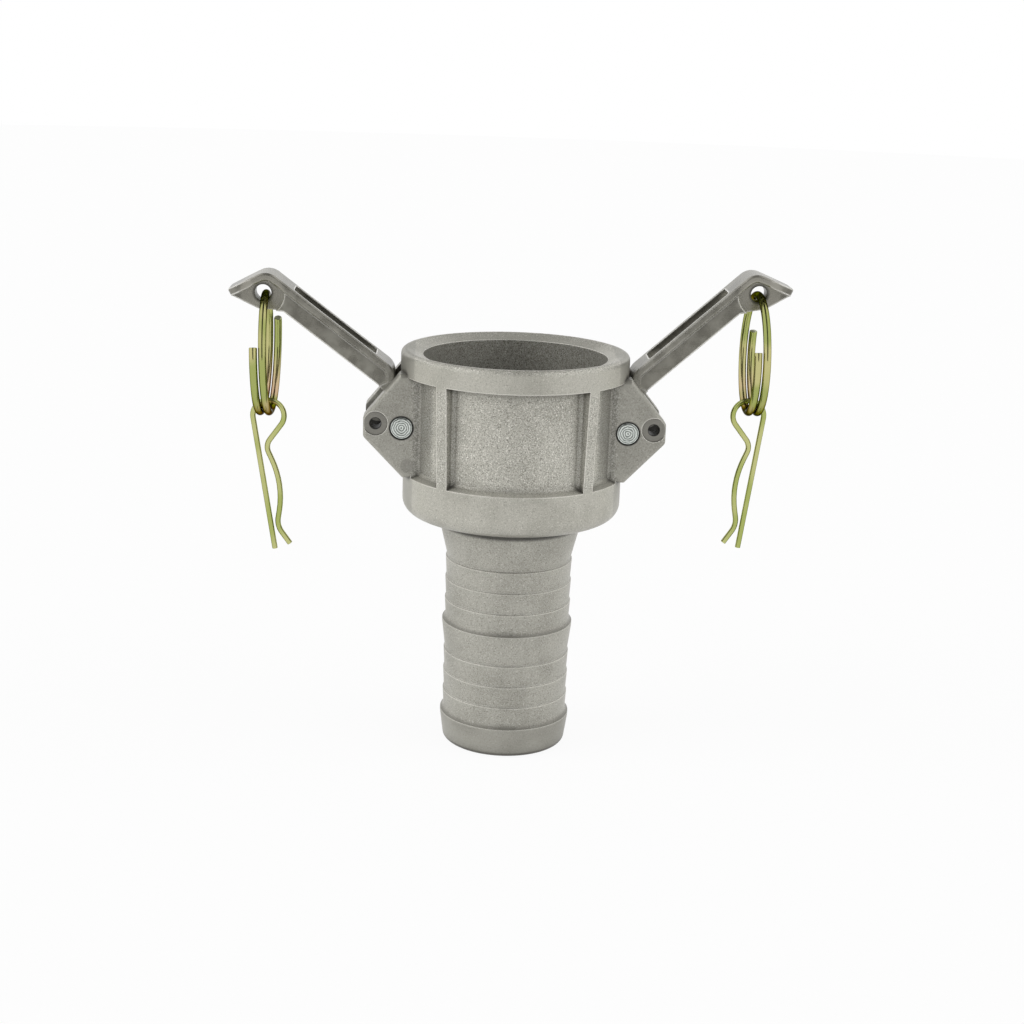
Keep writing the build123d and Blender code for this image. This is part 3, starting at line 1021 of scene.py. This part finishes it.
@dataclass
class PullRing:
    """A ring of round wire, wound a little over a turn and a half, that hangs in the lever's eye."""

    side: Side
    front_turns: float
    rear_turns: float
    finish: bpy.types.Material
    cut: bpy.types.Material
    wire: float = 2.3
    radius: float = 17.15
    pitch: float = 2.55
    burr: float = 0.2
    steps_per_turn: int = 96
    segments: int = 20
    sharp_angle: float = 50.0

    def centre(self) -> Vector:
        """Finds the middle of the ring at its top turn from the CAD node's box.

        Returns:
            The middle in metres.
        """
        low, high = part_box(f"pull_ring_{self.side.word}")
        x = low.x + (self.pitch * self.front_turns + self.wire / 2) * MM
        return Vector((x, 0.0, high.z - (self.radius + self.wire / 2) * MM))

    def build(self) -> bpy.types.Object:
        """Winds the wire's section along X and round, front turns up to the top and then rear turns.

        Returns:
            The ring, riding on its own body.
        """
        middle = self.centre()
        turns = self.front_turns + self.rear_turns
        steps = round(turns * self.steps_per_turn)
        start = 2 * math.pi * (0.5 - self.front_turns)
        lean = math.atan2(self.pitch, 2 * math.pi * self.radius)
        place = (
            Matrix.Translation(middle - Vector((self.pitch * self.front_turns * MM, 0.0, 0.0)))
            @ Matrix.Rotation(start, 4, "X")
            @ Matrix.Translation((0.0, 0.0, -self.radius * MM))
            @ Matrix.Rotation(-math.pi / 2, 4, "X")
            @ Matrix.Rotation(lean, 4, "Y")
        )
        bm = bmesh.new()
        loop = wire_end(bm, self.wire / 2 * MM, self.segments, place)
        bmesh.ops.spin(
            bm,
            geom=loop,
            cent=middle,
            axis=(1.0, 0.0, 0.0),
            dvec=(self.pitch * turns * MM / steps, 0.0, 0.0),
            angle=2 * math.pi * turns,
            steps=steps,
        )
        close_ends(bm, self.burr * MM)
        piece = finished_piece(f"wire_ring_{self.side.word}", bm, self.finish, self.cut)
        piece.data.set_sharp_from_angle(angle=math.radians(self.sharp_angle))
        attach(piece, f"ring_{self.side.word}")
        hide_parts(f"pull_ring_{self.side.word}")
        LOG.info("built %s", piece.name)
        return piece


@dataclass(frozen=True)
class Run:
    """A straight stretch of the clip's wire and the bend that follows it, in millimetres and degrees."""

    length: float
    bend_radius: float
    bend: float


@dataclass
class SafetyClip:
    """The bent-wire clip that hangs from the pull ring."""

    ring: PullRing
    lean: float
    finish: bpy.types.Material
    cut: bpy.types.Material
    wire: float = 1.6
    inset: float = 0.7
    play: float = 0.12
    first_heading: float = 82.0
    burr: float = 0.15
    segments: int = 16
    arc_step: float = 4.0
    fewest_steps: int = 4
    sharp_angle: float = 50.0
    runs: tuple[Run, ...] = (
        Run(40.3, 4.55, 225.0),
        Run(5.6, 3.9, -60.5),
        Run(2.2, 27.9, 33.4),
        Run(2.0, 6.0, -44.2),
    )
    last_run: float = 4.3

    def head_centre(self) -> Vector:
        """Finds the middle of the clip's head, inside the bottom of the ring.

        Returns:
            The middle in metres.
        """
        inside = self.runs[0].bend_radius - (self.wire + self.ring.wire) / 2 - self.play
        sideways = self.ring.pitch / 2 + self.inset
        drop = math.sqrt(inside**2 - sideways**2)
        shift = Vector((-self.ring.side.value * self.inset, 0.0, -(self.ring.radius + drop)))
        return self.ring.centre() + shift * MM

    def build(self) -> bpy.types.Object:
        """Draws the wire leg by leg, as it is bent: push along, then turn about a former.

        Returns:
            The clip, riding on its own body.
        """
        side = self.ring.side
        sign = side.value

        def step(heading: float) -> Vector:
            """Unit step in the clip's plane, mirrored on the left-hand side."""
            angle = math.radians(heading)
            return Vector((sign * math.cos(angle), 0.0, math.sin(angle)))

        heading = self.first_heading + self.lean
        head = self.head_centre()
        first = self.runs[0]
        point = head + (step(heading - 90) * first.bend_radius - step(heading) * first.length) * MM
        facing = step(heading).to_track_quat("Z", "Y").to_matrix().to_4x4()
        bm = bmesh.new()
        loop: list[Any] = wire_end(
            bm, self.wire / 2 * MM, self.segments, Matrix.Translation(point) @ facing
        )
        for run in self.runs:
            loop = self.push(bm, loop, step(heading) * run.length * MM)
            point = point + step(heading) * run.length * MM
            turn = math.copysign(1.0, run.bend)
            centre = point + step(heading + 90 * turn) * run.bend_radius * MM
            bent = bmesh.ops.spin(
                bm,
                geom=loop,
                cent=centre,
                axis=(0.0, -sign * turn, 0.0),
                angle=math.radians(abs(run.bend)),
                steps=max(self.fewest_steps, round(abs(run.bend) / self.arc_step)),
            )
            loop = [item for item in bent["geom_last"] if isinstance(item, bmesh.types.BMEdge)]
            heading += run.bend
            point = centre - step(heading + 90 * turn) * run.bend_radius * MM
        self.push(bm, loop, step(heading) * self.last_run * MM)
        close_ends(bm, self.burr * MM)
        piece = finished_piece(f"wire_clip_{side.word}", bm, self.finish, self.cut)
        piece.data.set_sharp_from_angle(angle=math.radians(self.sharp_angle))
        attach(piece, f"clip_{side.word}")
        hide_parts(f"safety_clip_{side.word}")
        LOG.info("built %s", piece.name)
        return piece

    @staticmethod
    def push(bm: bmesh.types.BMesh, loop: Iterable[Any], way: Vector) -> list[bmesh.types.BMEdge]:
        """Pushes the open end of the wire straight on.

        Args:
            bm: The clip's bmesh.
            loop: The open end's edges.
            way: How far and which way, in metres.

        Returns:
            The new open end's edges.
        """
        made = bmesh.ops.extrude_edge_only(bm, edges=list(loop))["geom"]
        verts = [item for item in made if isinstance(item, bmesh.types.BMVert)]
        bmesh.ops.translate(bm, verts=verts, vec=way)
        ring = set(verts)
        return [
            item
            for item in made
            if isinstance(item, bmesh.types.BMEdge) and item.verts[0] in ring and item.verts[1] in ring
        ]


# Studio


@dataclass
class Studio:
    """Camera, lamps, world and floor.

    The gap, back and ceiling say how far aside, back and up a reflection looks where the unlit parts of
    the room end or begin.
    """

    camera_distance: float = 520.894
    camera_height: float = 212.403
    camera_azimuth: float = -2.397
    camera_yaw: float = -0.053
    camera_pitch: float = 15.182
    camera_roll: float = 1.983
    lens: float = 63.502
    sensor: float = 36.0
    camera_sees: tuple[float, float] = (10.0, 20000.0)
    floor_radius: float = 3000.0
    floor_segments: int = 64
    floor_drop: float = 0.05
    world_level: float = 0.62
    paper: str = "#dcdcdc"
    floor_glow: float = 0.93
    left_aim: tuple[float, float, float] = (0.85, 0.25, -0.5)
    left_level: float = 1.6
    right_aim: tuple[float, float, float] = (-0.85, 0.2, -0.6)
    right_level: float = 1.1
    lamp_spread: float = 45.0
    unlit: str = "#2c2c2a"
    camera_side: str = "#5a5a58"
    gap: tuple[float, float] = (0.22, 0.36)
    back: tuple[float, float] = (0.02, 0.16)
    ceiling: tuple[float, float] = (0.42, 0.54)

    def place_camera(self) -> None:
        """Sets the camera where the photograph was taken from."""
        azimuth = math.radians(self.camera_azimuth)
        bearing = math.radians(self.camera_azimuth + self.camera_yaw)
        pitch = math.radians(self.camera_pitch)
        forward = Vector(
            (
                -math.sin(bearing) * math.cos(pitch),
                math.cos(bearing) * math.cos(pitch),
                -math.sin(pitch),
            )
        )
        right = Vector((math.cos(bearing), math.sin(bearing), 0.0))
        up = right.cross(forward)
        turn = Matrix((right, up, -forward)).transposed() @ Matrix.Rotation(
            math.radians(self.camera_roll), 3, "Z"
        )
        spot = Vector(
            (
                self.camera_distance * math.sin(azimuth),
                -self.camera_distance * math.cos(azimuth),
                self.camera_height,
            )
        )
        data = bpy.data.cameras.new("photo_camera")
        data.lens = self.lens
        data.sensor_width = self.sensor
        data.clip_start, data.clip_end = (distance * MM for distance in self.camera_sees)
        camera = bpy.data.objects.new("photo_camera", data)
        camera.matrix_world = Matrix.Translation(spot * MM) @ turn.to_4x4()
        bpy.context.scene.collection.objects.link(camera)
        bpy.context.scene.camera = camera

    def hang_lamps(self) -> None:
        """Hangs a wide, soft lamp on each side. Metal mirrors the room, so they leave no hot spots."""
        for name, aim, strength in (
            ("lamp_on_the_left", self.left_aim, self.left_level),
            ("lamp_on_the_right", self.right_aim, self.right_level),
        ):
            data = bpy.data.lights.new(name, "SUN")
            data.energy = strength
            data.angle = math.radians(self.lamp_spread)
            lamp = bpy.data.objects.new(name, data)
            lamp.visible_glossy = False
            lamp.rotation_mode = "QUATERNION"
            lamp.rotation_quaternion = Vector(aim).to_track_quat("-Z", "Y")
            bpy.context.scene.collection.objects.link(lamp)

    def seen_as_backdrop(self, tree: bpy.types.NodeTree) -> bpy.types.NodeSocket:
        """Tells what the camera, metal and glass show from other light.

        Args:
            tree: The node tree that gets the nodes.

        Returns:
            One for rays from the camera and for reflected and refracted ones, and nought for the rest.
        """
        path = add_node(tree, "LightPath")
        seen = path.outputs["Is Camera Ray"]
        for kind in ("Is Glossy Ray", "Is Transmission Ray"):
            either = add_node(tree, "Math", {"operation": "MAXIMUM"}, {0: seen, 1: path.outputs[kind]})
            seen = either.outputs[0]
        return seen

    def light_world(self) -> None:
        """Makes a white room. Metal also shows what is left unlit: the camera's side and the ceiling."""
        world = bpy.data.worlds.new("studio_room")
        bpy.context.scene.world = world
        world.use_nodes = True
        tree = world.node_tree
        tree.nodes.clear()
        surface = Surface(tree)
        where = add_node(tree, "TexCoord")
        axes = add_node(tree, "SeparateXYZ", inputs={0: where.outputs["Generated"]})
        aside = add_node(tree, "Math", {"operation": "ABSOLUTE"}, {0: axes.outputs["X"]}).outputs[0]
        front = surface.coat(self.camera_side, "#ffffff", aside, *self.gap)
        above = surface.coat(self.unlit, "#ffffff", aside, *self.gap)
        rear = surface.coat("#ffffff", above, axes.outputs["Z"], *self.ceiling)
        room_round = surface.coat(front, rear, axes.outputs["Y"], *self.back)
        path = add_node(tree, "LightPath")
        shown = surface.coat("#ffffff", room_round, path.outputs["Is Glossy Ray"], 0.0, 1.0)
        backdrop = add_node(tree, "Background", inputs={"Strength": 1.0, "Color": shown})
        room = add_node(tree, "Background", inputs={"Strength": self.world_level, "Color": "#ffffff"})
        both = add_node(
            tree,
            "MixShader",
            inputs={0: self.seen_as_backdrop(tree), 1: room.outputs[0], 2: backdrop.outputs[0]},
        )
        add_node(tree, "OutputWorld", inputs={"Surface": both.outputs[0]})

    def lay_floor(self) -> None:
        """Lays a white floor that keeps the object's shadow."""
        material, tree = new_material("Matt_white_paper")
        paper = add_node(tree, "BsdfDiffuse", inputs={"Color": self.paper})
        glow = add_node(tree, "Emission", inputs={"Color": "#ffffff", "Strength": 1.0})
        share = add_node(
            tree, "Math", {"operation": "MULTIPLY"}, {0: self.seen_as_backdrop(tree), 1: self.floor_glow}
        )
        both = add_node(
            tree, "MixShader", inputs={0: share.outputs[0], 1: paper.outputs[0], 2: glow.outputs[0]}
        )
        add_node(tree, "OutputMaterial", inputs={"Surface": both.outputs[0]})
        bm = bmesh.new()
        bmesh.ops.create_circle(
            bm,
            cap_ends=True,
            radius=self.floor_radius * MM,
            segments=self.floor_segments,
            matrix=Matrix.Translation((0.0, 0.0, -self.floor_drop * MM)),
        )
        floor = finished_piece("floor", bm, material)

    def build(self) -> None:
        """Sets up the whole studio."""
        self.place_camera()
        self.hang_lamps()
        self.light_world()
        self.lay_floor()
        bpy.context.scene.view_settings.view_transform = "Standard"


@dataclass(frozen=True)
class Hanging:
    """How a side's ring and clip hang: the turns before and after the ring's top, and the clip's lean."""

    side: Side
    front_turns: float
    rear_turns: float
    lean: float


HANGINGS = (
    Hanging(Side.LEFT, front_turns=0.79, rear_turns=0.826, lean=-1.1),
    Hanging(Side.RIGHT, front_turns=0.78, rear_turns=0.788, lean=0.8),
)


def main() -> None:
    """Builds the coupler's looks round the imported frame."""
    logging.basicConfig(level=logging.INFO, format="%(name)s: %(message)s")
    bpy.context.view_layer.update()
    Studio().build()
    CouplerBody().dress()
    ring_finish = ChromatedWire("#a3ab66", "#c4bf86", "#d3ac98", blush=(116.0, 101.0)).make()
    clip_finish = ChromatedWire("#a8b167", "#c0c184", "#dcb8a6", blush=(60.0, 40.0)).make()
    cut = CutSteel().make()
    for hanging in HANGINGS:
        LeverPin(hanging.side).build()
        CamLever(hanging.side).dress()
        ring = PullRing(hanging.side, hanging.front_turns, hanging.rear_turns, ring_finish, cut)
        ring.build()
        SafetyClip(ring, hanging.lean, clip_finish, cut).build()


if __name__ == "__main__":
    main()
